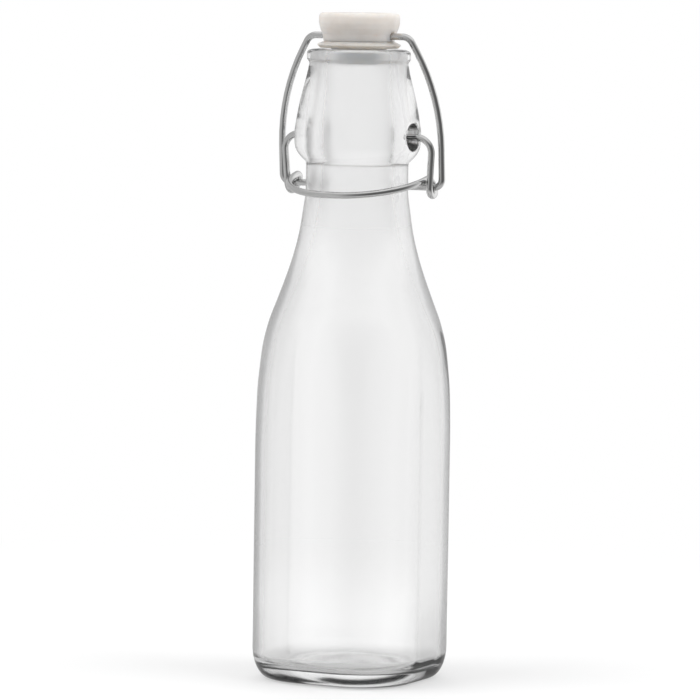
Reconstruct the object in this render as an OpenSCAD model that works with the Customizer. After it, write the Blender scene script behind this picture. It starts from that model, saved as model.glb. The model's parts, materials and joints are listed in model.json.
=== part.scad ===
// Clear glass bottle with a square body, a round neck and a swing-top closure.
// The closure is a plastic stopper with a soft ring under it, carried by an upper
// wire whose ends hook into the two eyes of a lower wire. The lower wire turns in
// two dimples of the neck's collar and its front arc is the lever that locks it.
// Millimetres. +Z is up, X runs along the hinge line, the lever's arc is at -Y.

/* [Body] */
// Width of the square body from flat to flat
body_w = 54; // [50:0.5:58]
// Radius of the body's upright corners
body_corner_r = 20.5; // [18:0.5:22]
// Thickness of the glass in the body's walls
body_wall = 2.8; // [2:0.1:3.6]
// Thickness of the glass between the foot and the inner floor
base_t = 5.2; // [4:0.1:7]
// How far the heel draws the walls in on their way down to the foot
heel_in = 5; // [4:0.25:6.5]
// Height over which the heel draws in
heel_h = 9.5; // [7:0.5:12]
// Radius between the inner walls and the inner floor
floor_r = 8; // [6:0.5:9]
// Radius between the inner corners and the inner floor
floor_corner_r = 5; // [4:0.5:6]
// Radius of the hollow under the base
push_up_r = 15.5; // [12:0.5:17]
// Depth of the hollow under the base
push_up_h = 2.2; // [1:0.1:3]

/* [Shoulder and neck] */
// Height at which the shoulder starts to round in
shoulder_z = 80; // [74:1:86]
// How far the turned shoulder starts outside the body's corners
shoulder_over = 0.5; // [0.3:0.1:1.5]
// Height at which the shoulder has become the straight neck
neck_z = 147; // [142:1:149]
// Radius of the straight neck
neck_r = 15.3; // [14:0.1:15.4]
// Inner radius of the straight neck
neck_bore_r = 10.6; // [9.8:0.1:11.5]

/* [Collar and mouth] */
// Height of the mouth plane
mouth_z = 188.5; // [187:0.1:190]
// Distance from the mouth plane down to the hinge line at the middle of the dimples
hinge_drop = 25.7; // [25:0.1:26.5]
// Radius of the collar at its widest
collar_r = 18.9; // [18:0.1:19.4]
// Height of the cylindrical band of the collar
collar_band = 2.4; // [1:0.1:4]
// Distance from the hinge line down to the underside of the collar
collar_drop = 8.2; // [7.8:0.1:8.6]
// Radius of the groove under the lip
groove_r = 14.8; // [14:0.1:15]
// Distance from the groove up to the mouth plane
lip_h = 4.3; // [3.5:0.1:5]
// Radius of the lip
lip_r = 15.5; // [15:0.1:16]
// Inner radius of the mouth
bore_r = 9.7; // [9:0.1:10.5]
// Length of the narrower bore below the mouth plane
bore_len = 11; // [9:0.5:14]
// Radius of the dimple that the lever's pin sits in
dimple_r = 4.1; // [3.5:0.1:4.5]
// Depth of the small round seat at the bottom of a dimple
seat_len = 1.4; // [1:0.1:2]

/* [Wires] */
// Diameter of both wires
wire_d = 2; // [1.8:0.1:2.1]
// Distance of the eye axis below the hinge line
eye_drop = 14.8; // [14:0.1:15.5]
// Distance of the eye axis behind the hinge line
eye_back = 3.3; // [2.5:0.1:4]
// Radius of an eye, at the middle of the wire
eye_r = 2.6; // [2.5:0.1:3]
// Gap between the collar and a leg of the lever, at its widest
leg_gap = 4.6; // [4.2:0.1:5.5]
// How far a leg of the lever leans in on its way down to the eye
leg_in = 0.7; // [0.2:0.1:1]
// Radius of the bend between a pin and its leg
lever_bend_r = 4.6; // [4:0.1:5]
// Gap between the neck and the front of the lever's arc when the bottle is shut
arc_gap = 0.75; // [0.3:0.05:1.2]
// Radius of the bends beside the stopper
bail_bend_r = 3.6; // [3:0.1:5]
// How far the straight wire runs out of the stopper's side before it bends
top_over = 2.35; // [1.5:0.05:2.6]
// Radius of the long curve in each leg of the upper wire
bail_sweep_r = 58; // [50:1:64]
// Radius of the bend between a leg of the upper wire and its hooked end
hook_r = 2.6; // [2.2:0.1:3]
// Gap between the neck and the tips of the hooked ends
hook_gap = 0.6; // [0.3:0.1:2]

/* [Stopper] */
// Height of the wire's straight above the mouth plane
bail_rise = 4; // [3.8:0.1:4.5]
// Radius of the stopper's head at its widest
head_r = 12.15; // [11.8:0.05:12.6]
// Radius of the head at its underside
head_foot_r = 10.6; // [10:0.1:11]
// Height of the top of the stopper above the mouth plane
head_top = 11; // [10.5:0.1:12]
// Height of the head's underside above the mouth plane
head_foot = 2.3; // [2.2:0.05:2.5]
// Radius of the stem that carries the soft ring
stem_r = 4.5; // [4:0.1:5]
// Radius of the button at the end of the stem
button_r = 5.6; // [5.2:0.1:6]
// Depth of the button's end below the mouth plane
button_drop = 4.6; // [4:0.1:5.2]
// Thickness of the button
button_t = 2.2; // [1.6:0.1:2.6]

/* [Soft ring] */
// Radius of the soft ring at its widest
ring_r = 12.7; // [12:0.1:13.2]
// Radius of the flat face that the ring seals with
ring_seal_r = 11.6; // [11.2:0.1:12]
// Gap between the ring's plug and the bore where the plug enters the mouth
plug_gap = 1.2; // [1:0.1:2]
// Radius of the ring's plug at its lower end
plug_end_r = 6.3; // [6:0.1:6.8]

/* [Clearances] */
// Gap between the soft ring and the lip when the bottle is shut
seal_gap = 0.36; // [0.32:0.01:0.4]
// Running clearance round a pin or the wire's straight
pin_gap = 0.08; // [0.05:0.01:0.1]
// Gap between a lever pin's tip and the end of its seat
tip_gap = 0.25; // [0.1:0.05:0.4]
// Gap between the soft ring and the stem or the button
fit_gap = 0.05; // [0.02:0.01:0.08]
// Gap between a leg of the lever and a leg of the upper wire where they pass
pass_gap = 0.2; // [0.1:0.05:0.3]

/* [Hidden] */
$fn = 96;
overrun = 1;
arc_steps = 6;
weld_len = 0.12;
weld_swell = 0.004;

body_half = body_w / 2;
corner_reach = (body_half - body_corner_r) * sqrt(2) + body_corner_r;
shoulder_r = corner_reach + shoulder_over;
cavity_half = body_half - body_wall;
cavity_corner_r = body_corner_r - body_wall;
cavity_r = shoulder_r - body_wall;
push_up_ball_r = (push_up_r * push_up_r + push_up_h * push_up_h) / (2 * push_up_h);

wire_r = wire_d / 2;
hinge_z = mouth_z - hinge_drop;
collar_bottom_z = hinge_z - collar_drop;
collar_low_z = hinge_z - collar_band / 2;
collar_high_z = hinge_z + collar_band / 2;
groove_z = mouth_z - lip_h;
bore_bottom_z = mouth_z - bore_len;
pin_z = mouth_z + bail_rise;
eye_z = hinge_z - eye_drop;
head_top_z = mouth_z + head_top;
head_foot_z = mouth_z + head_foot;
button_end_z = mouth_z - button_drop;
button_top_z = button_end_z + button_t;
ring_bottom_z = mouth_z + seal_gap;
plug_r = bore_r - plug_gap;
lever_x = collar_r + leg_gap + wire_r;
bail_x = lever_x + wire_d + pass_gap;
bail_top_x = head_r + top_over;
hook_x = neck_r + hook_gap;

// Shoulder outline: share of its height, share of the way from shoulder to neck
shoulder_shares = [
    [0, 0], [0.1, 0.045], [0.2, 0.115], [0.3, 0.185], [0.4, 0.295], [0.5, 0.46],
    [0.6, 0.625], [0.7, 0.77], [0.8, 0.88], [0.9, 0.95], [1, 1]
];
// Underside of the collar: share of its height, share of the way from neck to collar
collar_low_shares = [
    [0, 0], [0.1, 0.17], [0.21, 0.39], [0.42, 0.71], [0.62, 0.9], [0.79, 0.97], [1, 1]
];
// Slope above the collar: share of its height, share of the way from collar to groove
collar_high_shares = [
    [0, 0], [0.08, 0.05], [0.22, 0.15], [0.37, 0.29], [0.53, 0.46], [0.71, 0.68],
    [0.87, 0.88], [1, 1]
];
// Lip: share of its height, share of the way from the groove to the lip's radius
lip_shares = [[0, 0], [0.2, 0.5], [0.45, 1], [0.7, 1], [0.88, 0.6], [1, -0.3]];
// Side of the stopper's head: share of its height, share of the way to the widest
head_shares = [[0, 0], [0.25, 0.25], [0.45, 0.7], [0.62, 0.95], [0.75, 1], [0.87, 1]];
// Rounded upper edge and crown: share of the height left, share of the radius
crown_shares = [[0.45, 0.975], [0.75, 0.93], [0.9, 0.86], [0.96, 0.6], [1, 0]];
// Height of the soft ring's edge, as a share of the ring's height over the lip
ring_edge_share = 0.55;
// Height of the rounded edge inside the mouth, as a share of the lip's height
mouth_edge_share = 0.22;
// End of the button, as a share of the button's radius and of its thickness
button_end_share = 0.8;
button_edge_share = 0.35;
// Widening of the wire's hole at the stopper's sides, as a share of the wire
pocket_share = 0.8;
// Angle by which each bend beside the stopper turns the upper wire
bail_bend_a = 60;
// Lean of an eye's upper turn, which carries the wire in past the leg
eye_lean_a = 20;
// Downward slope of the lever's arc
lever_slope_a = 13.5;

function between(low, high, share) = low + (high - low) * share;

// Outline points that run from one radius and height to another by a table of shares
function run(r0, z0, r1, z1, shares) = [
    for (s = shares) [between(r0, r1, s[1]), between(z0, z1, s[0])]
];

// Rounded heel from the underside at z0 up to the side at the given half width
function heel(half, draw, rise, z0) = [
    for (i = [0:arc_steps])
        [
            half - draw * (1 - sin(90 * i / arc_steps)),
            z0 + rise * (1 - cos(90 * i / arc_steps))
        ]
];

function mirrored(points) = concat(
    points, [for (i = [len(points) - 1:-1:0]) [-points[i][0], points[i][1]]]
);

// Turned outline of the glass, from the foot to the mouth plane
outer_outline = concat(
    [[0, 0]],
    heel(shoulder_r, heel_in, heel_h, 0),
    run(shoulder_r, shoulder_z, neck_r, neck_z, shoulder_shares),
    run(neck_r, collar_bottom_z, collar_r, collar_low_z, collar_low_shares),
    run(collar_r, collar_high_z, groove_r, groove_z, collar_high_shares),
    run(groove_r, groove_z, lip_r, mouth_z, lip_shares),
    [[0, mouth_z]]
);

// Turned outline of the inside, from the inner floor out through the mouth
cavity_outline = concat(
    [[0, base_t]],
    heel(cavity_r, floor_corner_r, floor_corner_r, base_t),
    run(cavity_r, shoulder_z, neck_bore_r, neck_z, shoulder_shares),
    [
        [neck_bore_r, hinge_z],
        [bore_r, bore_bottom_z],
        [bore_r, mouth_z - mouth_edge_share * lip_h],
        [bore_r + mouth_edge_share * lip_h, mouth_z + overrun],
        [0, mouth_z + overrun]
    ]
);

// Lean of a lever leg, so that it meets the front of its eye on a tangent
eye_reach = sqrt(eye_back * eye_back + eye_drop * eye_drop);
leg_a = atan2(eye_back, eye_drop) - asin(eye_r / eye_reach);
// How far down the leaning leg the middle of the eye lies
eye_down = eye_back * sin(leg_a) + eye_drop * cos(leg_a);
// Lean of a leg towards the middle plane on its way down to the eye
leg_in_a = atan2(leg_in, eye_drop - lever_bend_r);
eye_start = eye_down + eye_r * (cos(eye_lean_a) - cos(leg_in_a));
leg_len = (eye_start - lever_bend_r * (1 + sin(leg_in_a))) / cos(leg_in_a);
seat_end_x = collar_r + fit_gap - dimple_r - seat_len;
pin_tip_x = seat_end_x + tip_gap;
pin_len = lever_x - lever_bend_r - pin_tip_x;

// Where the lever's arc starts, past the eye: along the leg's lean and down it
arc_turn_a = lever_slope_a - leg_a;
arc_start_back = eye_r * (1 - sin(arc_turn_a));
arc_start_down = eye_start
    + eye_r * (cos(leg_in_a) - 2 * cos(eye_lean_a) + 1 - cos(arc_turn_a));
arc_y = arc_start_back * cos(leg_a) + arc_start_down * sin(leg_a);
front_r = (neck_r + arc_gap + wire_r + arc_y) / cos(lever_slope_a);
// Distance of the arc's start from the middle plane
arc_x = lever_x - lever_bend_r * (1 - cos(leg_in_a)) - leg_len * sin(leg_in_a)
    - eye_r * sin(leg_in_a) - 2 * eye_r * sin(eye_lean_a);

// Length of the upper wire's plane from the stopper down to the eyes, and its lean
bail_drop = pin_z - eye_z;
bail_len = sqrt(eye_back * eye_back + bail_drop * bail_drop);
bail_a = atan2(eye_back, bail_drop);
bail_slant = (bail_x - bail_top_x - bail_bend_r * sin(bail_bend_a)
    - bail_sweep_r * (1 - sin(bail_bend_a))) / cos(bail_bend_a);
bail_straight = bail_len - hook_r - bail_bend_r * (1 - cos(bail_bend_a))
    - bail_slant * sin(bail_bend_a) - bail_sweep_r * cos(bail_bend_a);

// Each step of a wire: straight length, bend radius, bend angle, roll before the bend.
// A step without a length or a bend is the middle, where the two halves meet.
lever_steps = [
    [pin_len, lever_bend_r, 90 + leg_in_a, leg_a],
    [leg_len, eye_r, 90, 90],
    [0, eye_r, 180, -eye_lean_a - leg_in_a],
    [0, eye_r, arc_turn_a, -eye_lean_a],
    [0, front_r, 90, -90],
    [arc_x - front_r, 0, 0, 0],
    [0, 0, 0, 0]
];
upper_steps = [
    [0, 0, 0, 0],
    [bail_top_x, bail_bend_r, bail_bend_a, bail_a],
    [bail_slant, bail_sweep_r, 90 - bail_bend_a, 0],
    [bail_straight, hook_r, 90, 0],
    [bail_x - hook_r - hook_x, 0, 0, 0]
];

// Piece of bent wire that starts along +Z and turns towards +X
module bend(r, angle) {
    rotate([90, 0, 180])
        translate([-r, 0, 0])
            rotate_extrude(angle = angle)
                translate([r, 0, 0])
                    circle(r = wire_r);
}

// Faint swelling that joins two lengths of wire where they meet
module weld() {
    cylinder(h = weld_len, r = wire_r + weld_swell, center = true);
}

// Wire drawn step by step from the origin, starting along +Z
module wire(steps, i = 0) {
    if (i < len(steps)) {
        step = steps[i];
        if (i > 0) {
            weld();
        }
        if (step[0] > 0) {
            cylinder(h = step[0], r = wire_r);
        }
        translate([0, 0, step[0]])
            rotate([0, 0, step[3]]) {
                if (step[2] > 0) {
                    weld();
                    bend(step[1], step[2]);
                }
                translate([step[1] * (1 - cos(step[2])), 0, step[1] * sin(step[2])])
                    rotate([0, step[2], 0])
                        wire(steps, i + 1);
            }
    }
}

module both_sides() {
    children();
    mirror([1, 0, 0])
        children();
}

module rounded_square(half, corner) {
    straight = half - corner;
    square([2 * half, 2 * straight], center = true);
    square([2 * straight, 2 * half], center = true);
    for (x = [-straight, straight], y = [-straight, straight]) {
        translate([x, y])
            circle(r = corner);
    }
}

module side_view(half, draw, rise, z0, top) {
    rotate([90, 0, 0])
        linear_extrude(height = 2 * shoulder_r + overrun, center = true)
            polygon(mirrored(concat(heel(half, draw, rise, z0), [[half, top]])));
}

// Square flask with round corners, a rounded foot and a turned shoulder and neck
module flask(half, corner, draw, rise, z0, top, outline) {
    intersection() {
        translate([0, 0, z0])
            linear_extrude(height = top - z0)
                rounded_square(half, corner);
        side_view(half, draw, rise, z0, top);
        rotate([0, 0, 90])
            side_view(half, draw, rise, z0, top);
        rotate_extrude()
            polygon(outline);
    }
}

module dimple() {
    translate([collar_r + fit_gap, 0, hinge_z])
        sphere(r = dimple_r);
    translate([seat_end_x, 0, hinge_z])
        rotate([0, 90, 0])
            cylinder(h = dimple_r + seat_len, r = wire_r + pin_gap);
}

module bottle() {
    color("aliceblue", 0.4)
        difference() {
            flask(body_half, body_corner_r, heel_in, heel_h, 0, mouth_z, outer_outline);
            flask(cavity_half, cavity_corner_r, floor_r, floor_r, base_t,
                mouth_z + overrun, cavity_outline);
            translate([0, 0, push_up_h - push_up_ball_r])
                sphere(r = push_up_ball_r);
            both_sides()
                dimple();
        }
}

module stopper() {
    crown_z = between(head_foot_z, head_top_z, head_shares[len(head_shares) - 1][0]);
    color("gainsboro")
        difference() {
            rotate_extrude()
                polygon(concat(
                    [
                        [0, button_end_z],
                        [button_end_share * button_r, button_end_z],
                        [button_r, between(button_end_z, button_top_z, button_edge_share)],
                        [button_r, button_top_z],
                        [stem_r, button_top_z],
                        [stem_r, head_foot_z]
                    ],
                    run(head_foot_r, head_foot_z, head_r, head_top_z, head_shares),
                    run(0, crown_z, head_r, head_top_z, crown_shares)
                ));
            translate([0, 0, pin_z])
                rotate([0, 90, 0])
                    cylinder(h = 2 * head_r, r = wire_r + pin_gap, center = true);
            both_sides()
                translate([head_r, 0, pin_z])
                    rotate([0, -90, 0])
                        cylinder(h = wire_d, r1 = wire_r * (1 + pocket_share),
                            r2 = wire_r + pin_gap);
        }
}

module soft_ring() {
    edge_z = between(ring_bottom_z, head_foot_z, ring_edge_share);
    plug_z = button_top_z + fit_gap;
    color("antiquewhite")
        rotate_extrude()
            polygon([
                [stem_r + fit_gap, plug_z],
                [plug_end_r, plug_z],
                [plug_r, ring_bottom_z],
                [ring_seal_r, ring_bottom_z],
                [ring_r, edge_z],
                [head_foot_r, head_foot_z],
                [stem_r + fit_gap, head_foot_z]
            ]);
}

module upper_wire() {
    color("silver")
        both_sides()
            translate([0, 0, pin_z])
                rotate([0, 90, 0])
                    wire(upper_steps);
}

module lever_wire() {
    color("silver")
        both_sides()
            translate([pin_tip_x, 0, hinge_z])
                rotate([0, 90, 0])
                    wire(lever_steps);
}

bottle();
stopper();
soft_ring();
upper_wire();
lever_wire();
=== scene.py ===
"""Dress a clear glass swing-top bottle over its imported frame.

The bottle has a square body with round corners, a round neck and a swing-top closure:
a milky plastic stopper with a soft ring, an upper wire that carries the stopper, and a
lower wire whose two pins turn in dimples of the neck's collar. Sizes are written in
millimetres, and every mesh is made in metres in the frame's own coordinates. Lengths
in the finishes and the studio are in metres, but for the floor's disc and the lens.
"""
import json
import logging
import math
from collections.abc import Callable, Sequence
from dataclasses import dataclass, field
from enum import Enum

import bmesh
import bpy
from bpy.types import Material, Node, NodeSocket, NodeTree, Object
from mathutils import Matrix, Vector

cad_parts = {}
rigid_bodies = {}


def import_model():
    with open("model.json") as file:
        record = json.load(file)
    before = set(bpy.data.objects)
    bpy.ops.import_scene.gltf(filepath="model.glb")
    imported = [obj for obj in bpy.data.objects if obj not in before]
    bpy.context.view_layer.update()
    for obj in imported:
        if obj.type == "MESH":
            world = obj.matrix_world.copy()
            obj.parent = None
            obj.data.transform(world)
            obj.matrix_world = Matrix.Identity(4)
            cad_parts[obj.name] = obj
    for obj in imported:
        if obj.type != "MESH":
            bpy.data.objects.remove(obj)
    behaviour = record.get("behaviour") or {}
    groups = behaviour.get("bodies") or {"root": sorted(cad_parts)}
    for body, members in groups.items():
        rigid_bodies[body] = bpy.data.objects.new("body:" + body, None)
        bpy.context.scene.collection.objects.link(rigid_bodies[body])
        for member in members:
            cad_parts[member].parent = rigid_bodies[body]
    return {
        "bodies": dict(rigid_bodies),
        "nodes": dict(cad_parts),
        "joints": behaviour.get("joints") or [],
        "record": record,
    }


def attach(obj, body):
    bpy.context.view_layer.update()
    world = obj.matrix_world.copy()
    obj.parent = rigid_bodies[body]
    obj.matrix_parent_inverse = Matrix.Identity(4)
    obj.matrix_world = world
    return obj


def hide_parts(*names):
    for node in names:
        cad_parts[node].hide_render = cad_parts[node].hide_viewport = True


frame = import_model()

LOG = logging.getLogger("bottle")
OUTER_FACE = "outer_face"
MM = 0.001
HINGE_Z = 162.8
MOUTH_Z = 188.5
PIN_Z = 192.5
WHITE = (1.0, 1.0, 1.0, 1.0)

Knots = Sequence[tuple[float, float]]
Ring = list[Vector]
Colour = tuple[float, float, float]
Band = tuple[float, float, float]
Input = NodeSocket | float | tuple


class Body(Enum):
    """Bodies of the frame that pieces ride on."""

    BOTTLE = "bottle"
    LEVER = "lever"
    BAIL = "bail"
    STOPPER = "stopper"


class Slot(Enum):
    """Material slots of the frame's record."""

    GLASS = "clear_glass"
    PLASTIC = "stopper_plastic"
    SILICONE = "soft_ring"
    STEEL = "steel_wire"


class CadNode(Enum):
    """CAD nodes that the dressed pieces stand for."""

    BOTTLE = "bottle"
    STOPPER = "stopper"
    SOFT_RING = "soft_ring"
    UPPER_WIRE = "upper_wire"
    LEVER_WIRE = "lever_wire"


# Curves and meshes


def cos_sin(degrees: float) -> tuple[float, float]:
    """Cosine and sine of an angle in degrees."""
    return math.cos(math.radians(degrees)), math.sin(math.radians(degrees))


def even(start: float, end: float, count: int, first: int = 1) -> list[float]:
    """Evenly spaced places from start to end, from step number first on."""
    return [start + (end - start) * k / count for k in range(first, count + 1)]


def monotone(knots: Knots) -> Callable[[float], float]:
    """Make a smooth curve through knots that never overshoots between them.

    Args:
        knots: Pairs of position and value, with rising positions.

    Returns:
        A function that gives the value at a position.
    """
    xs, ys = zip(*knots)
    steps = [b - a for a, b in zip(xs, xs[1:])]
    rises = [(b - a) / step for a, b, step in zip(ys, ys[1:], steps)]
    slopes = [rises[0]]
    for i in range(1, len(rises)):
        if rises[i - 1] * rises[i] <= 0:
            slopes.append(0.0)
            continue
        w1 = 2 * steps[i] + steps[i - 1]
        w2 = steps[i] + 2 * steps[i - 1]
        slopes.append((w1 + w2) / (w1 / rises[i - 1] + w2 / rises[i]))
    slopes.append(rises[-1])

    def value(x: float) -> float:
        """Value of the curve at x, held at its ends."""
        x = min(max(x, xs[0]), xs[-1])
        i = max(0, min(len(steps) - 1, sum(1 for k in xs[1:-1] if k <= x)))
        t = (x - xs[i]) / steps[i]
        h00 = 2 * t**3 - 3 * t**2 + 1
        h10 = t**3 - 2 * t**2 + t
        h01 = -2 * t**3 + 3 * t**2
        h11 = t**3 - t**2
        return (h00 * ys[i] + h10 * steps[i] * slopes[i]
                + h01 * ys[i + 1] + h11 * steps[i] * slopes[i + 1])

    return value


def soft_min(a: float, b: float, blend: float) -> float:
    """Smaller of two lengths, rounded off where they differ by less than the blend."""
    near = max(blend - abs(a - b), 0.0) / blend
    return min(a, b) - near * near * blend / 4


def rounded_square_reach(half: float, corner: float, angle: float) -> float:
    """Find how far the side of a square with round corners is from its middle.

    Args:
        half: Half the width from flat to flat.
        corner: Radius of the corners.
        angle: Direction in radians.

    Returns:
        The distance in that direction.
    """
    c, s = abs(math.cos(angle)), abs(math.sin(angle))
    k = half - corner
    flat = half / max(c, s)
    if flat * min(c, s) <= k:
        return flat
    b = k * (c + s)
    return b + math.sqrt(max(b * b - 2 * k * k + corner * corner, 0.0))


def ring_mesh(name: str, rings: Sequence[Ring], start: Vector | None, end: Vector | None,
              lengths: Sequence[float] | None = None) -> Object:
    """Skin a row of rings into one smooth mesh object.

    Args:
        name: Name of the new object.
        rings: Rings of points in millimetres, all with the same count.
        start: Middle point that closes the first ring, or None to leave it open.
        end: Middle point that closes the last ring, or None to leave it open.
        lengths: Distance of each ring along the piece, for its texture coordinates.

    Returns:
        The linked object.
    """
    bm = bmesh.new()
    rows = [[bm.verts.new(p * MM) for p in ring] for ring in rings]
    count = len(rings[0])
    uv = bm.loops.layers.uv.new("along") if lengths else None
    for i in range(len(rows) - 1):
        for j in range(count):
            k = (j + 1) % count
            face = bm.faces.new((rows[i][j], rows[i][k], rows[i + 1][k], rows[i + 1][j]))
            if uv and lengths:
                around = ((j, i), (j + 1, i), (j + 1, i + 1), (j, i + 1))
                for loop, (a, row) in zip(face.loops, around):
                    loop[uv].uv = (lengths[row], a / count)
    for middle, row, turn in ((start, rows[0], 1), (end, rows[-1], 0)):
        if middle is None:
            continue
        tip = bm.verts.new(middle * MM)
        for j in range(count):
            pair = (row[j], row[(j + 1) % count])
            bm.faces.new((tip, pair[turn], pair[1 - turn]))
    bmesh.ops.recalc_face_normals(bm, faces=bm.faces)
    for face in bm.faces:
        face.smooth = True
    mesh = bpy.data.meshes.new(name)
    bm.to_mesh(mesh)
    bm.free()
    obj = bpy.data.objects.new(name, mesh)
    bpy.context.scene.collection.objects.link(obj)
    return obj


def turned_mesh(name: str, outline: Knots, columns: int, lift: float = 0.0) -> Object:
    """Turn an outline of radius and height about the upright axis.

    Args:
        name: Name of the new object.
        outline: Pairs of radius and height, from end to end of the outline.
        columns: Number of points round each ring.
        lift: How far the whole outline is raised.

    Returns:
        The linked object. Ends that reach the axis are closed there.
    """
    turns = [2 * math.pi * k / columns for k in range(columns)]
    rings = [[Vector((r * math.cos(turn), r * math.sin(turn), z + lift)) for turn in turns]
             for r, z in outline if r > 0]
    start, end = (Vector((0, 0, z + lift)) if r == 0 else None
                  for r, z in (outline[0], outline[-1]))
    return ring_mesh(name, rings, start, end)


def rounded_outline(corners: Sequence[tuple[float, float, float]],
                    steps: int = 6) -> list[tuple[float, float]]:
    """Round the corners of an outline with curves that touch both sides.

    Args:
        corners: Radius, height and rounding radius of each corner.
        steps: Number of chords in each rounded corner.

    Returns:
        The outline as pairs of radius and height.
    """
    longest_cut = 0.49
    outline: list[tuple[float, float]] = []
    for i, (r, z, rounding) in enumerate(corners):
        here = Vector((r, z))
        if rounding <= 0 or i in (0, len(corners) - 1):
            outline.append((r, z))
            continue
        before = Vector(corners[i - 1][:2]) - here
        after = Vector(corners[i + 1][:2]) - here
        cut = min(rounding / math.tan(before.angle(after) / 2),
                  before.length * longest_cut, after.length * longest_cut)
        a = here + before.normalized() * cut
        b = here + after.normalized() * cut
        for t in even(0, 1, steps, 0):
            p = a * (1 - t) ** 2 + here * 2 * t * (1 - t) + b * t**2
            outline.append((p.x, p.y))
    return outline


def carve(obj: Object, cutter: Object) -> None:
    """Cut one closed mesh out of another and delete the cutter.

    Args:
        obj: Object that is cut.
        cutter: Object whose shape is taken away.
    """
    cut = obj.modifiers.new("cut", "BOOLEAN")
    cut.operation = "DIFFERENCE"
    cut.solver = "EXACT"
    cut.object = cutter
    graph = bpy.context.evaluated_depsgraph_get()
    mesh = bpy.data.meshes.new_from_object(obj.evaluated_get(graph))
    obj.modifiers.clear()
    obj.data = mesh
    bpy.data.objects.remove(cutter)


def weld(obj: Object, distance: float = 1e-7) -> None:
    """Join the points of a mesh that lie on each other.

    Args:
        obj: Object whose mesh is welded.
        distance: Distance in metres up to which points are joined.
    """
    bm = bmesh.new()
    bm.from_mesh(obj.data)
    bmesh.ops.remove_doubles(bm, verts=bm.verts, dist=distance)
    bmesh.ops.recalc_face_normals(bm, faces=bm.faces)
    bm.to_mesh(obj.data)
    bm.free()


def smooth_by_angle(obj: Object, degrees: float) -> None:
    """Shade a mesh smooth, with edges sharper than the angle in degrees kept crisp."""
    obj.data.polygons.foreach_set("use_smooth", [True] * len(obj.data.polygons))
    obj.data.set_sharp_from_angle(angle=math.radians(degrees))


# Shader graphs


@dataclass
class Graph:
    """Short hand for placing and linking the nodes of one tree."""

    tree: NodeTree

    def feed(self, node: Node, values: dict[str | int, Input]) -> Node:
        """Link or set some inputs of a node.

        Args:
            node: The node.
            values: A socket to link or a constant to set for each input, by name or number.

        Returns:
            The same node.
        """
        for key, value in values.items():
            if isinstance(value, NodeSocket):
                self.tree.links.new(value, node.inputs[key])
            else:
                node.inputs[key].default_value = value
        return node

    def add(self, kind: str, values: dict[str | int, Input] | None = None,
            **settings: object) -> Node:
        """Place a node.

        Args:
            kind: Blender's name of the node's type, without ShaderNode in front.
            values: Its inputs, as for feed.
            **settings: Properties of the node itself.

        Returns:
            The node.
        """
        node = self.tree.nodes.new("ShaderNode" + kind)
        for key, value in settings.items():
            setattr(node, key, value)
        return self.feed(node, values or {})

    def ramp(self, source: NodeSocket, stops: Sequence[tuple[float, Colour]],
             interpolation: str = "EASE") -> NodeSocket:
        """Place a colour ramp.

        Args:
            source: Value that runs along the ramp.
            stops: Position and colour of each stop.
            interpolation: How the ramp runs between its stops.

        Returns:
            The ramp's colour.
        """
        node = self.add("ValToRGB", {"Fac": source})
        ramp = node.color_ramp
        ramp.interpolation = interpolation
        for position, _ in stops[len(ramp.elements):]:
            ramp.elements.new(position)
        for element, (position, colour) in zip(ramp.elements, stops):
            element.position = position
            element.color = (*colour, 1.0)
        return node.outputs["Color"]

    def spread(self, source: NodeSocket, low: Input, high: Input, start: Input = 0.0,
               end: Input = 1.0, smooth: bool = False) -> NodeSocket:
        """Spread a stretch of a value over another range.

        Args:
            source: The value.
            low: Result at the stretch's start.
            high: Result at its end.
            start: Value where the stretch starts.
            end: Value where it ends.
            smooth: Whether the result eases in and out.

        Returns:
            The result, held beyond the stretch.
        """
        node = self.add("MapRange", {"Value": source, "From Min": start, "From Max": end,
                                     "To Min": low, "To Max": high},
                        interpolation_type="SMOOTHSTEP" if smooth else "LINEAR")
        return node.outputs["Result"]

    def mix(self, share: NodeSocket, a: Input, b: Input, kind: str = "FLOAT") -> NodeSocket:
        """Mix two values, or two colours where the kind is RGBA."""
        node = self.add("Mix", {"Factor": share, "A": a, "B": b}, data_type=kind)
        return node.outputs["Result"]

    def maths(self, operation: str, first: Input, *others: Input) -> NodeSocket:
        """Work out a sum, product or other operation.

        Args:
            operation: Name of the Math node's operation.
            first: First value.
            *others: Further values, each worked into the result so far.

        Returns:
            The result.
        """
        for other in others or (0.0,):
            first = self.add("Math", {0: first, 1: other},
                             operation=operation).outputs["Value"]
        return first

    def relief(self, height: NodeSocket, share: float, depth: float) -> NodeSocket:
        """Normal of a relief, by the share of it that shows and its depth in metres."""
        node = self.add("Bump", {"Strength": share, "Distance": depth, "Height": height})
        return node.outputs["Normal"]

    def effect(self, group: NodeTree, values: dict[str, Input]) -> bpy.types.NodeOutputs:
        """Place a shared effect with its own values and give its outputs."""
        return self.add("Group", values, node_tree=group).outputs


def new_group(name: str, vector: str, floats: dict[str, float],
              outputs: Sequence[str]) -> tuple[Graph, bpy.types.NodeOutputs, Node]:
    """Start a shader node group with named sockets.

    Args:
        name: Name of the group.
        vector: Name of its vector input.
        floats: Default of each of its other inputs, by name.
        outputs: Names of its outputs.

    Returns:
        The group's graph, what it is given, and the node that takes its results.
    """
    tree = bpy.data.node_groups.new(name, "ShaderNodeTree")
    tree.interface.new_socket(vector, in_out="INPUT", socket_type="NodeSocketVector")
    for label, value in floats.items():
        socket = tree.interface.new_socket(label, in_out="INPUT", socket_type="NodeSocketFloat")
        socket.default_value = value
    for label in outputs:
        tree.interface.new_socket(label, in_out="OUTPUT", socket_type="NodeSocketFloat")
    given = tree.nodes.new("NodeGroupInput").outputs
    return Graph(tree), given, tree.nodes.new("NodeGroupOutput")


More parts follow.
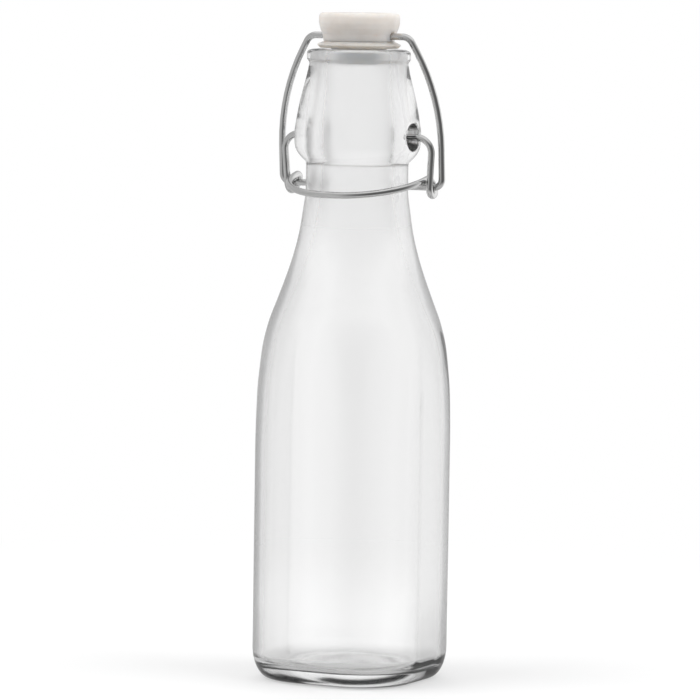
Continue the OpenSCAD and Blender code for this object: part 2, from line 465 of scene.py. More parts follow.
def moulded_surface_group() -> NodeTree:
    """Build the mottle and fine grain that a moulded or pressed surface has.

    Returns:
        A group that puts out a broad tone mask, a gloss mask and a relief height.
    """
    gloss_share = 0.75
    graph, given, end = new_group("moulded_surface", "Place",
                                  {"Broad": 60.0, "Fine": 900.0, "Grain": 0.35},
                                  ("Tone", "Gloss", "Relief"))
    broad, fine = (graph.add("TexNoise", {
        "Vector": given["Place"], "Scale": given[label], "Detail": detail,
        "Roughness": 0.55}).outputs["Fac"] for label, detail in (("Broad", 3.0), ("Fine", 2.0)))
    relief = graph.maths("ADD", broad, graph.maths("MULTIPLY", fine, given["Grain"]))
    graph.feed(end, {"Tone": graph.maths("SMOOTH_MIN", broad, 1.0),
                     "Gloss": graph.maths("MULTIPLY", relief, gloss_share),
                     "Relief": relief})
    return graph.tree


def handling_marks_group() -> NodeTree:
    """Build the sparse fine scratches that handling leaves on a hard surface.

    Returns:
        A group that puts out a mask of scratches.
    """
    line_width = 0.006
    patch_scale = 140.0
    patch_from, patch_to = 0.5, 0.68
    graph, given, end = new_group("handling_marks", "Place",
                                  {"Scale": 300.0, "Amount": 0.5}, ("Marks",))
    warp = graph.add("TexNoise", {"Vector": given["Place"], "Scale": given["Scale"],
                                  "Detail": 1.0, "Distortion": 0.8})
    ridge = graph.maths("ABSOLUTE", graph.maths("SUBTRACT", warp.outputs["Fac"], 0.5))
    patch = graph.add("TexNoise", {"Vector": given["Place"], "Scale": patch_scale,
                                   "Detail": 1.0})
    marks = graph.maths("MULTIPLY", graph.spread(ridge, 1.0, 0.0, 0.0, line_width),
                        graph.spread(patch.outputs["Fac"], 0.0, 1.0, patch_from, patch_to),
                        given["Amount"])
    graph.feed(end, {"Marks": marks})
    return graph.tree


def height_share_group() -> NodeTree:
    """Build the share by which a surface has changed between two heights.

    Returns:
        A group that puts out 0 at the height From and 1 at the height To.
    """
    graph, given, end = new_group("height_share", "Place", {"From": 0.0, "To": 1.0}, ("Share",))
    height = graph.add("SeparateXYZ", {"Vector": given["Place"]}).outputs["Z"]
    graph.feed(end, {"Share": graph.spread(height, 0.0, 1.0, given["From"], given["To"])})
    return graph.tree


@dataclass
class EffectShelf:
    """The shared effects, built once and placed in each finish."""

    moulded: NodeTree = field(default_factory=moulded_surface_group)
    marks: NodeTree = field(default_factory=handling_marks_group)
    height: NodeTree = field(default_factory=height_share_group)


def new_material(name: str,
                 values: dict[str, Input]) -> tuple[Material, Graph, Node, NodeSocket]:
    """Start a material that holds one Principled shader.

    Args:
        name: Name of the material.
        values: The shader's constants, by name.

    Returns:
        The material, its graph, its shader and the place in the object's coordinates.
    """
    material = bpy.data.materials.new(name)
    material.use_nodes = True
    graph = Graph(material.node_tree)
    shader = graph.feed(material.node_tree.nodes["Principled BSDF"], values)
    return material, graph, shader, graph.add("TexCoord").outputs["Object"]


# Finishes


@dataclass(frozen=True)
class ClearGlass:
    """Polished clear glass, satin inside the neck, with painted shade that darkens it towards its
    edges.

    A band is the height where a value leaves 0, the height where it is full, and its
    full value. The painted shade is laid on the outer face alone, as pairs of how far the face
    turns away, seen from outside, and the level of light that it still lets through. It stands
    for the darker surroundings that the glass shows near its edges.
    """

    ior: float = 1.5
    ripple_share: float = 0.08
    ripple_depth: float = 0.00006
    rough_high: float = 0.012
    neck_satin: Band = (0.118, 0.142, 0.33)
    mouth_satin: Band = (0.1815, 0.185, 0.3)
    foot_satin: Band = (0.03, 0.014, 0.06)
    stipple: Band = (0.006, 0.001, 0.16)
    # Shares of the painted edge shade taken off in the neck and in the mouth.
    neck_unshaded: Band = (0.118, 0.142, 0.4)
    mouth_unshaded: Band = (0.1815, 0.185, 0.25)
    neck_calm: Band = (0.118, 0.142, 0.7)
    foot_calm: Band = (0.03, 0.012, -0.12)
    # Painted shade: base colour levels that darken the outer face the more it turns away.
    edge_shade_levels: Knots = ((0.0, 0.82), (0.055, 0.875), (0.11, 0.91), (0.25, 0.885), (0.38, 0.78),
                    (0.56, 0.72), (0.64, 0.5), (0.75, 0.4), (1.0, 0.3))

    def build(self, shelf: EffectShelf) -> Material:
        """Make the material.

        Args:
            shelf: The shared effects.

        Returns:
            The material.
        """
        material, graph, shader, place = new_material(
            "clear_glass_polished", {"Transmission Weight": 1.0, "IOR": self.ior})
        height = graph.add("SeparateXYZ", {"Vector": place}).outputs["Z"]

        def bands(*chosen: Band) -> NodeSocket:
            """Sum of the bands' values at the point's height."""
            return graph.maths("ADD", *(graph.spread(height, 0.0, level, start, end, True)
                                        for start, end, level in chosen))

        # Painted shade: the outer face's base colour is darkened towards its edges, less in the
        # neck and mouth.
        calm = graph.maths("ADD", bands(self.neck_calm, self.foot_calm), 1.0)
        edge_shade = graph.ramp(graph.maths("POWER", self.turned_away(graph), calm),
                          [(turn, (level, level, level)) for turn, level in self.edge_shade_levels],
                          "LINEAR")
        outer = graph.add("Attribute", attribute_name=OUTER_FACE).outputs["Fac"]
        shade_kept = graph.maths("SUBTRACT", 1.0, bands(self.neck_unshaded, self.mouth_unshaded))
        edge_shade_share = graph.maths("MULTIPLY", outer, shade_kept)
        surface = graph.effect(shelf.moulded, {"Place": place, "Broad": 45.0, "Fine": 160.0,
                                               "Grain": 0.12})
        satin = graph.maths("MULTIPLY", graph.maths("SUBTRACT", 1.0, outer),
                            bands(self.neck_satin, self.mouth_satin, self.foot_satin))
        worn = graph.spread(surface["Gloss"], 0.0, self.rough_high)
        graph.feed(shader, {
            "Base Color": graph.mix(edge_shade_share, WHITE, edge_shade, "RGBA"),
            "Roughness": graph.maths("ADD", bands(self.stipple), worn, satin),
            "Normal": graph.relief(surface["Relief"], self.ripple_share, self.ripple_depth)})
        return material

    def turned_away(self, graph: Graph) -> NodeSocket:
        """Work out how far the face turns away from the light's way outside the glass.

        Args:
            graph: The material's graph.

        Returns:
            0 for a face that is met squarely, up to 1 for one that is only grazed.
        """
        facing = graph.add("LayerWeight", {"Blend": 0.5}).outputs["Facing"]
        square = graph.maths("POWER", graph.maths("SUBTRACT", 1.0, facing), 2.0)
        bent = graph.maths("MULTIPLY", graph.maths("SUBTRACT", 1.0, square), self.ior**2)
        left = graph.maths("SUBTRACT", 1.0, bent)
        way_out = graph.maths("SQRT", graph.maths("MAXIMUM", 0.0, left))
        leaving = graph.add("NewGeometry").outputs["Backfacing"]
        return graph.mix(leaving, facing, graph.maths("SUBTRACT", 1.0, way_out))


@dataclass(frozen=True)
class SoftFinish:
    """What milky plastic and silicone share. Both are painted paler below a height: painted light
    on the parts shaded inside the glass mouth.
    """

    name: str
    low: Colour
    high: Colour
    glow: Colour
    rough: tuple[float, float]
    broad: float
    fine: float
    grain: float
    painted_light_from: float
    painted_light_to: float
    sheen: float = 0.0
    scratches: float = 0.0
    scratch_scale: float = 420.0
    # Painted light: the paler colour below the height, which lightens the parts shaded inside the
    # glass mouth.
    pale: Colour = (0.93, 0.92, 0.9)
    tone_ends: tuple[float, float] = (0.3, 0.7)
    milkiness: float = 0.9
    milky_depth: float = 0.006
    relief_share: float = 0.4
    relief_depth: float = 0.00003

    def build(self, shelf: EffectShelf) -> Material:
        """Make the material.

        Args:
            shelf: The shared effects.

        Returns:
            The material.
        """
        material, graph, shader, place = new_material(self.name, {
            "Subsurface Weight": self.milkiness, "Subsurface Scale": self.milky_depth,
            "Subsurface Radius": self.glow, "Sheen Weight": self.sheen})
        surface = graph.effect(shelf.moulded, {"Place": place, "Broad": self.broad,
                                               "Fine": self.fine, "Grain": self.grain})
        gloss, height = surface["Gloss"], surface["Relief"]
        if self.scratches:
            marks = graph.effect(shelf.marks, {"Place": place, "Scale": self.scratch_scale,
                                               "Amount": self.scratches})["Marks"]
            gloss = graph.maths("ADD", gloss, marks)
            height = graph.maths("SUBTRACT", height, marks)
        tone = graph.ramp(surface["Tone"], list(zip(self.tone_ends, (self.low, self.high))))
        # Painted light: the share below the height that takes the paler colour.
        below = graph.effect(shelf.height, {"Place": place, "From": self.painted_light_from,
                                            "To": self.painted_light_to})
        graph.feed(shader, {
            "Base Color": graph.mix(below["Share"], tone, (*self.pale, 1.0), "RGBA"),
            "Roughness": graph.spread(gloss, *self.rough),
            "Normal": graph.relief(height, self.relief_share, self.relief_depth)})
        return material


@dataclass(frozen=True)
class MilkyPlastic(SoftFinish):
    """Satin, milky plastic with a faint flow mottle and handling scratches."""

    name: str = "stopper_milky_plastic"
    low: Colour = (0.64, 0.6, 0.565)
    high: Colour = (0.71, 0.68, 0.65)
    glow: Colour = (1.0, 0.9, 0.8)
    rough: tuple[float, float] = (0.34, 0.48)
    broad: float = 130.0
    fine: float = 2200.0
    grain: float = 0.3
    # Painted light on the stem and button inside the glass mouth.
    painted_light_from: float = 0.188
    painted_light_to: float = 0.187
    sheen: float = 0.15
    scratches: float = 0.5


@dataclass(frozen=True)
class SoftSilicone(SoftFinish):
    """Satin silicone with a fine dusty grain."""

    name: str = "soft_ring_silicone"
    low: Colour = (0.51, 0.475, 0.44)
    high: Colour = (0.58, 0.55, 0.515)
    glow: Colour = (1.0, 0.85, 0.7)
    rough: tuple[float, float] = (0.45, 0.62)
    broad: float = 260.0
    fine: float = 2600.0
    grain: float = 0.5
    # Painted light on the plug inside the glass mouth.
    painted_light_from: float = 0.1886
    painted_light_to: float = 0.1876


@dataclass(frozen=True)
class DrawnSteel:
    """Bright drawn wire with fine lines along its length and a few handling marks."""

    low: Colour = (0.5, 0.5, 0.5)
    high: Colour = (0.68, 0.68, 0.675)
    tone_ends: tuple[float, float] = (0.3, 0.65)
    rough: tuple[float, float] = (0.12, 0.24)
    line_scale: tuple[float, float, float] = (0.12, 60.0, 1.0)
    relief_share: float = 0.25
    relief_depth: float = 0.00001

    def build(self, shelf: EffectShelf) -> Material:
        """Make the material.

        Args:
            shelf: The shared effects.

        Returns:
            The material.
        """
        material, graph, shader, place = new_material("drawn_steel_wire", {"Metallic": 1.0})
        along = graph.add("UVMap", uv_map="along").outputs["UV"]
        stretch = graph.add("Mapping", {"Vector": along, "Scale": self.line_scale})
        lines = graph.add("TexNoise", {"Vector": stretch.outputs["Vector"], "Scale": 1.0,
                                       "Detail": 4.0, "Roughness": 0.6}).outputs["Fac"]
        surface = graph.effect(shelf.moulded, {"Place": place, "Broad": 160.0, "Fine": 1500.0,
                                               "Grain": 0.3})
        marks = graph.effect(shelf.marks, {"Place": place, "Scale": 500.0,
                                           "Amount": 0.6})["Marks"]
        gloss = graph.maths("ADD", graph.maths("MULTIPLY", surface["Gloss"], lines), marks)
        height = graph.maths("SUBTRACT", lines, marks)
        graph.feed(shader, {
            "Base Color": graph.ramp(lines, list(zip(self.tone_ends, (self.low, self.high)))),
            "Roughness": graph.spread(gloss, *self.rough),
            "Normal": graph.relief(height, self.relief_share, self.relief_depth)})
        return material


def all_finishes() -> dict[Slot, Material]:
    """Make the material of each slot."""
    shelf = EffectShelf()
    recipes = {Slot.GLASS: ClearGlass(), Slot.PLASTIC: MilkyPlastic(),
               Slot.SILICONE: SoftSilicone(), Slot.STEEL: DrawnSteel()}
    return {slot: recipe.build(shelf) for slot, recipe in recipes.items()}


@dataclass
class FinishRack:
    """Every finish of the object, made once."""

    made: dict[Slot, Material] = field(default_factory=all_finishes)

    def dress(self, piece: Object, slot: Slot, body: Body, node: CadNode) -> None:
        """Finish a piece, set it on its body and let it stand for its node.

        Args:
            piece: The piece.
            slot: The slot whose finish it takes.
            body: The body that it rides on.
            node: The CAD node that it replaces.
        """
        piece.data.materials.clear()
        piece.data.materials.append(self.made[slot])
        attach(piece, body.value)
        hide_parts(node.value)
        LOG.info("%s rides on %s in %s", piece.name, body.value, slot.value)


# Glass


@dataclass
class GlassBottle:
    """The bottle: square body, turned shoulder, neck, dimpled collar and lip.

    Under the foot, the hollow and its edge are shares of the hollow's radius, the flat is
    shares of the way out to the foot, and the foot's edge is heights and how far they lie
    inside the heel. The flare is heights below the shoulder and how far the turned outline
    stands out there. Other tables of shares give the share of the height and the share of
    the way from the lower radius to the upper one. The dimple's radii are those of the
    rings of points round its middle, and its drops are how far its edge is rounded off.
    """

    half: float = 27.0
    corner: float = 20.5
    wall: float = 2.8
    heel_in: float = 5.0
    heel_h: float = 9.5
    foot_in: float = 6.2
    foot_edge: Knots = ((0.02, 0.35), (0.05, 0.0))
    base: float = 4.5
    floor_in: float = 3.5
    dome: float = 2.4
    push_up_r: float = 15.5
    push_up_h: float = 2.2
    body_top: float = 60.0
    shoulder_z: float = 80.0
    shoulder_r: float = 30.192
    neck_z: float = 147.0
    neck_r: float = 15.3
    neck_bore: float = 10.6
    collar_foot: float = 154.6
    collar_r: float = 18.9
    collar_band: float = 2.4
    hinge_z: float = HINGE_Z
    groove_z: float = 184.2
    groove_r: float = 14.8
    lip_r: float = 15.5
    mouth_z: float = MOUTH_Z
    bore: float = 9.7
    bore_from: float = 11.0
    bore_land: float = 2.6
    inner_top: float = 3.4
    dimple_r: float = 4.1
    dimple_out: float = 0.05
    seat_step: float = 0.08
    seat_end: float = 13.5
    patch_half: float = 6.0
    patch_steps: int = 14
    dimple_edge: float = 4.27
    heel_steps: int = 16
    body_steps: int = 10
    shoulder_steps: int = 64
    neck_steps: int = 16
    mouth_steps: int = 21
    bore_steps: int = 18
    cavity_steps: int = 52
    floor_steps: int = 18
    side_columns: int = 70
    blend: float = 2.0
    columns: list[float] = field(init=False)
    outside: Callable[[float], float] = field(init=False)
    inside: Callable[[float], float] = field(init=False)

    hollow_shares: Sequence[float] = (0.08, 0.2, 0.35, 0.5, 0.64, 0.76, 0.86, 0.94)
    bearing_edge: Knots = ((0.99, 0.06), (1.03, 0.0), (1.12, 0.0))
    flat_shares: Sequence[float] = (0.35, 0.7, 1.0)
    floor_shares: Sequence[float] = (0.9, 0.75, 0.6, 0.45, 0.3, 0.16, 0.06)
    flare: Knots = ((0, 9), (50, 3.2))
    shoulder_shares: Knots = (
        (0, 0), (0.1, 0.045), (0.2, 0.115), (0.3, 0.185), (0.4, 0.295), (0.5, 0.46),
        (0.6, 0.625), (0.7, 0.77), (0.8, 0.88), (0.9, 0.95), (1, 1))
    collar_low_shares: Knots = (
        (0, 0), (0.1, 0.17), (0.21, 0.39), (0.42, 0.71), (0.62, 0.9), (0.79, 0.97), (1, 1))
    collar_high_shares: Knots = (
        (0, 0), (0.08, 0.05), (0.22, 0.15), (0.37, 0.29), (0.53, 0.46), (0.71, 0.68),
        (0.87, 0.88), (1, 1))
    dimple_radii: Sequence[float] = (
        0.0, 0.98, 1.16, 1.45, 2.15, 2.85, 3.42, 3.8, 4.02, 4.16, 4.38, 4.7, 5.05, 5.5, 6.0)
    dimple_drops: Sequence[float] = (0, 0, 0, 0, 0, 0, 0, 0, 0.42, 0.14, 0.03, 0, 0, 0, 0)
    seat_rings: int = 2
    bowl_rings: int = 7

    def __post_init__(self) -> None:
        """Lay out the columns and the two outlines."""
        near = [math.asin(i * self.patch_half / self.patch_steps / self.collar_r)
                for i in range(-self.patch_steps, self.patch_steps + 1)]
        gap = math.pi - 2 * near[-1]
        fill = [near[-1] + gap * (i + 1) / (self.side_columns + 1)
                for i in range(self.side_columns)]
        self.columns = near + fill + [a + math.pi for a in near + fill]
        self.outside = monotone(self.outer_knots())
        self.inside = monotone(self.inner_knots())

    def span(self, r0: float, z0: float, r1: float, z1: float,
             shares: Knots) -> list[tuple[float, float]]:
        """Knots of height and radius, with a table of shares spread from end to end."""
        return [(z0 + (z1 - z0) * a, r0 + (r1 - r0) * b) for a, b in shares]

    def outer_knots(self) -> list[tuple[float, float]]:
        """Lay out the turned outer outline.

        Returns:
            Knots of height and radius.
        """
        low, high = (self.hinge_z + side * self.collar_band / 2 for side in (-1, 1))
        return ([(z, self.shoulder_r + out) for z, out in self.flare]
                + self.span(self.shoulder_r, self.shoulder_z, self.neck_r, self.neck_z,
                            self.shoulder_shares)
                + self.span(self.neck_r, self.collar_foot, self.collar_r, low,
                            self.collar_low_shares)
                + self.span(self.collar_r, high, self.groove_r, self.groove_z,
                            self.collar_high_shares))

    def inner_knots(self) -> list[tuple[float, float]]:
        """Lay out the turned inner outline.

        Returns:
            Knots of height and radius.
        """
        start = self.shoulder_r - self.wall
        return ([(z, start + out) for z, out in self.flare]
                + self.span(start, self.shoulder_z, self.neck_bore, self.neck_z,
                            self.shoulder_shares)
                + [(self.hinge_z, self.neck_bore), (self.mouth_z - self.bore_from, self.bore),
                   (self.mouth_z, self.bore)])

    def ring(self, z: float, reach: Callable[[float], float] | float) -> Ring:
        """Lay a ring of points at one height.

        Args:
            z: The height.
            reach: The ring's radius, or a function that gives it for each column's angle.

        Returns:
            The ring.
        """
        reaches = [reach(a) if callable(reach) else reach for a in self.columns]
        return [Vector((r * math.cos(a), r * math.sin(a), z))
                for r, a in zip(reaches, self.columns)]

    def outer_reach(self, angle: float, z: float, inset: float = 0.0) -> float:
        """Reach of the outer surface, with the heel's inset taken off."""
        square = rounded_square_reach(self.half - inset, self.corner - inset, angle)
        return soft_min(square, self.outside(z) - inset, self.blend)

    def outer_ring(self, z: float, inset: float = 0.0) -> Ring:
        """Ring of the outer surface."""
        return self.ring(z, lambda a: self.outer_reach(a, z, inset))

    def inner_reach(self, angle: float, z: float, inset: float = 0.0) -> float:
        """Reach of the inner surface, with the floor corner's inset taken off."""
        sharpening, least_corner = 1.35, 3.0
        corner = max(self.corner - self.wall - sharpening * inset, least_corner)
        square = rounded_square_reach(self.half - self.wall - inset, corner, angle)
        return soft_min(square, self.inside(z), self.blend)

    def inner_ring(self, z: float, inset: float = 0.0, share: float = 1.0) -> Ring:
        """Ring of the inner surface, or a share of the way out to it."""
        return self.ring(z, lambda a: share * self.inner_reach(a, z, inset))

    def foot_rings(self) -> list[Ring]:
        """Lay the foot, from the top of the hollow under it out to the heel's lower edge.

        Returns:
            The rings.
        """
        edge = self.push_up_r
        rings = [self.ring(self.push_up_h * (1 - share**2), share * edge)
                 for share in self.hollow_shares]
        rings += [self.ring(z, share * edge) for share, z in self.bearing_edge]
        flat_r = self.bearing_edge[-1][0] * edge
        for share in self.flat_shares:
            rings.append(self.ring(0.0, lambda a, s=share: (
                flat_r * (1 - s) + self.outer_reach(a, 0, self.foot_in) * s)))
        return rings + [self.outer_ring(z, self.heel_in + out) for z, out in self.foot_edge]

    def wall_rings(self) -> list[Ring]:
        """Lay the heel and the wall, up to just below the collar's patch.

        Returns:
            The rings.
        """
        low = self.foot_edge[-1][0]
        rings = [self.outer_ring(low + (self.heel_h - low) * (1 - math.cos(t)),
                                 self.heel_in * (1 - math.sin(t)))
                 for t in even(0, math.pi / 2, self.heel_steps)]
        top = self.hinge_z - self.patch_half
        heights = (even(self.heel_h, self.body_top, self.body_steps)
                   + even(self.body_top, self.neck_z, self.shoulder_steps)
                   + even(self.neck_z, top, self.neck_steps)[:-1])
        return rings + [self.outer_ring(z) for z in heights]

    def collar_rings(self) -> list[Ring]:
        """Lay the collar, with the rings bent round the two dimples.

        Returns:
            The rings.
        """
        n = self.patch_steps
        rings = []
        for j in range(-n, n + 1):
            z = self.hinge_z + j * self.patch_half / n
            ring = self.ring(z, self.outside(z))
            for i in range(-n, n + 1):
                for middle, side in ((n, 1), (n + len(self.columns) // 2, -1)):
                    ring[middle + i] = self.dimple_point(i, j, side)
            rings.append(ring)
        return rings

    def dimple_point(self, i: int, j: int, side: int) -> Vector:
        """Find a point of the collar's patch round a dimple.

        Args:
            i: Column from the dimple's middle.
            j: Row from the dimple's middle.
            side: 1 for the dimple at +X and -1 for the one at -X.

        Returns:
            The point in millimetres.
        """
        n = self.patch_steps
        m = max(abs(i), abs(j))
        radius = self.dimple_radii[m]
        z_square = j * self.patch_half / n
        y_square = (self.outside(self.hinge_z + z_square) / self.collar_r
                    * i * self.patch_half / n)
        if abs(i) >= abs(j):
            angle = math.pi / 4 * (j / i if i else 0.0) + (math.pi if i < 0 else 0.0)
        else:
            angle = math.pi / 2 - math.pi / 4 * (i / j) + (math.pi if j < 0 else 0.0)
        roundness = {n: 0.0, n - 1: 0.45, n - 2: 0.85}
        share = roundness.get(m, 1.0)
        y = y_square * (1 - share) + radius * math.cos(angle) * share
        z = z_square * (1 - share) + radius * math.sin(angle) * share
        reach = self.outside(self.hinge_z + z)
        x = math.sqrt(max(reach * reach - y * y, 0.0)) - self.dimple_drops[m]
        if m < self.seat_rings:
            x = self.seat_end
        elif m == self.seat_rings:
            x = self.collar_r + self.dimple_out - self.dimple_r + self.seat_step
        elif m <= self.bowl_rings:
            bowl = math.sqrt(max(self.dimple_r * self.dimple_r - radius**2, 0.0))
            x = self.collar_r + self.dimple_out - bowl
        return Vector((side * x, side * y, self.hinge_z + z))

    def mouth_rings(self) -> list[Ring]:
        """Lay the mouth, from above the collar's patch over the lip and down the bore.

        Returns:
            The rings.
        """
        low = self.hinge_z + self.patch_half
        outline = [(self.outside(z), z) for z in even(low, self.groove_z, self.mouth_steps)]
        lip = rounded_outline(
            [(self.groove_r, self.groove_z, 0), (self.groove_r + 0.05, self.groove_z + 0.35, 0.5),
             (self.lip_r, self.groove_z + 1.35, 1.0), (self.lip_r, self.mouth_z - 0.55, 1.3),
             (self.lip_r - 1.6, self.mouth_z, 1.4), (self.bore + 0.75, self.mouth_z, 0.8),
             (self.bore, self.mouth_z - 1.2, 1.2), (self.bore, self.mouth_z - self.bore_land, 0)])
        return [self.ring(z, r) for r, z in outline + lip[1:]]

    def inner_rings(self) -> list[Ring]:
        """Lay the inside, from below the mouth down to the middle of the floor.

        Returns:
            The rings.
        """
        corner_z = self.base + self.floor_in
        heights = (even(self.mouth_z - self.inner_top, self.neck_z, self.bore_steps, 0)
                   + even(self.neck_z, self.body_top, self.cavity_steps)
                   + even(self.body_top, corner_z, self.body_steps)[:-1])
        rings = [self.inner_ring(z) for z in heights]
        for t in even(0, math.pi / 2, self.floor_steps, 0):
            rings.append(self.inner_ring(corner_z - self.floor_in * math.sin(t),
                                         self.floor_in * (1 - math.cos(t))))
        for share in self.floor_shares:
            z = self.base + self.dome * (1 - share**2) ** 2
            rings.append(self.inner_ring(z, self.floor_in, share))
        return rings

    def mark_outer_face(self, glass: Object, parts: Sequence[Sequence[Ring]]) -> None:
        """Mark the points of the outer face, without the foot, dimples and bore.

        Args:
            glass: The bottle's mesh object.
            parts: Rings of each stretch of the mesh, from the foot to the inside.
        """
        rim = (self.lip_r + self.bore) / 2
        marks: list[float] = []
        for number, part in enumerate(parts):
            outer_part = 0 < number < len(parts) - 1
            for point in (point for ring in part for point in ring):
                beyond_rim = math.hypot(point.x, point.y) > rim
                in_dimple = math.hypot(point.y, point.z - self.hinge_z) < self.dimple_edge
                marks.append(float(outer_part and beyond_rim and not in_dimple))
        middle_points = [0.0, 0.0]
        # The mark says where the glass takes its painted edge shade and stays polished.
        layer = glass.data.attributes.new(OUTER_FACE, "FLOAT", "POINT")
        layer.data.foreach_set("value", marks + middle_points)

    def build(self, rack: FinishRack) -> None:
        """Make and dress the glass.

        Args:
            rack: The finishes.
        """
        parts = (self.foot_rings(), self.wall_rings(), self.collar_rings(),
                 self.mouth_rings(), self.inner_rings())
        glass = ring_mesh("bottle_glass", [ring for part in parts for ring in part],
                          Vector((0, 0, self.push_up_h)),
                          Vector((0, 0, self.base + self.dome)))
        self.mark_outer_face(glass, parts)
        rack.dress(glass, Slot.GLASS, Body.BOTTLE, CadNode.BOTTLE)


# Wires


@dataclass(frozen=True)
class WireStep:
    """One step of a bent wire: a straight, then a roll and a bend."""

    straight: float
    radius: float = 0.0
    angle: float = 0.0
    roll: float = 0.0


@dataclass
class BentWire:
    """A wire that is bent step by step from its first point, both halves mirrored."""

    name: str
    steps: Sequence[WireStep]
    start: Vector
    body: Body
    node: CadNode
    middle_first: bool
    wire_r: float = 1.0
    sides: int = 28
    bend_step: float = 4.0
    straight_step: float = 1.0
    cut_in: float = 0.18
    cut_back: float = 0.16
    cut_run: float = 0.2
    crisp_angle: float = 35.0

    def half_path(self) -> list[Vector]:
        """Walk the steps from the start.

        Returns:
            The points of one half.
        """
        spot = self.start.copy()
        turn = Matrix.Rotation(math.pi / 2, 3, "Y")
        points = [spot.copy()]
        for step in self.steps:
            if step.straight > 0:
                count = max(1, round(step.straight / self.straight_step))
                points += [spot + turn @ Vector((0, 0, run))
                           for run in even(0, step.straight, count)]
                spot = points[-1].copy()
            turn = turn @ Matrix.Rotation(math.radians(step.roll), 3, "Z")
            if step.angle > 0:
                count = max(3, round(step.angle / self.bend_step))
                points += [spot + turn @ Vector((step.radius * (1 - math.cos(t)), 0,
                                                 step.radius * math.sin(t)))
                           for t in even(0, math.radians(step.angle), count)]
                spot = points[-1].copy()
                turn = turn @ Matrix.Rotation(math.radians(step.angle), 3, "Y")
        return points

    def path(self) -> list[Vector]:
        """Join the two halves.

        Returns:
            One line of points from tip to tip.
        """
        joined = 0.02
        half = self.half_path()
        if self.middle_first:
            half.reverse()
        other = [Vector((-p.x, p.y, p.z)) for p in reversed(half)]
        if (half[-1] - other[0]).length < joined:
            half[-1] = Vector((0, half[-1].y, half[-1].z))
            other = other[1:]
        return half + other

    def section(self, point: Vector, across: Vector, up: Vector, radius: float) -> Ring:
        """Round section of the wire at one point of its path."""
        turns = [2 * math.pi * k / self.sides for k in range(self.sides)]
        return [point + (across * math.cos(t) + up * math.sin(t)) * radius for t in turns]

    def build(self, rack: FinishRack) -> None:
        """Sweep a round section along the path, with chamfered cut ends.

        Args:
            rack: The finishes.
        """
        points = self.path()
        last = len(points) - 1
        tangents = [(points[min(i + 1, last)] - points[max(i - 1, 0)]).normalized()
                    for i in range(last + 1)]
        side = tangents[0].orthogonal().normalized()
        frames: list[tuple[Vector, Vector, Vector]] = []
        lengths = [0.0]
        for i, (point, tangent) in enumerate(zip(points, tangents)):
            side = (side - tangent * side.dot(tangent)).normalized()
            frames.append((point, side.copy(), tangent.cross(side)))
            if i:
                lengths.append(lengths[-1] + (point - points[i - 1]).length)
        rings = [self.section(*frame, self.wire_r) for frame in frames]
        for end, inward in ((0, 1), (-1, -1)):
            point, across, up = frames[end]
            back = point + tangents[end] * inward * self.cut_back
            rings[end] = self.section(back, across, up, self.wire_r)
            place = 0 if inward == 1 else len(rings)
            rings.insert(place, self.section(point, across, up, self.wire_r - self.cut_in))
            lengths.insert(place, lengths[end] - inward * self.cut_run)
        wire = ring_mesh(self.name, rings, points[0].copy(), points[-1].copy(), lengths)
        smooth_by_angle(wire, self.crisp_angle)
        rack.dress(wire, Slot.STEEL, self.body, self.node)


